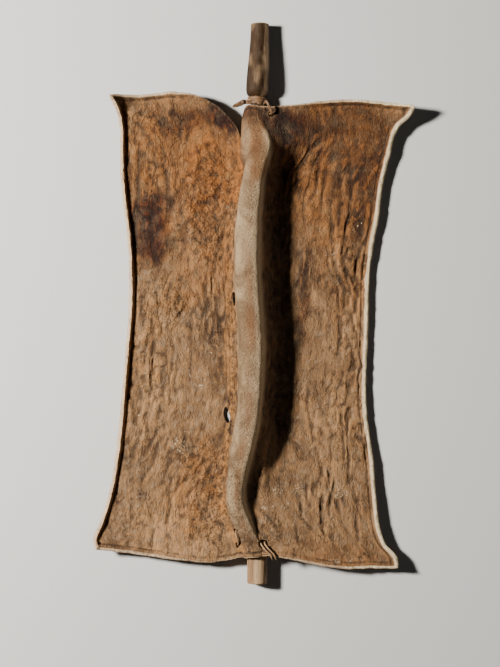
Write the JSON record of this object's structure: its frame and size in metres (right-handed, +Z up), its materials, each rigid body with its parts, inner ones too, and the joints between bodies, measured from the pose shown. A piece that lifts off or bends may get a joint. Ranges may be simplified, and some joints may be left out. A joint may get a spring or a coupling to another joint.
{
  "type": "hide shield",
  "caption": "Waisted rawhide shield with forward-turned rims and a raised hand ridge, lashed to a straight wooden stave along its back, lying flat.",
  "frame": {"origin": "on the ground, under the middle of the whole shield as it lies on its back", "axes": "+Y along the stave towards its longer, upper end, +Z up out of the shield's front, +X across it to the right"},
  "size_m": [0.511, 0.894, 0.066],
  "materials": {
    "rawhide": "matte, worn and dusty",
    "wood": "hand-worn, slightly polished",
    "thong": "dry, matte"
  },
  "bodies": {
    "root": {"hide": "rawhide", "stave": "wood", "top_lashing": "thong", "bottom_lashing": "thong"}
  },
  "joints": []
}
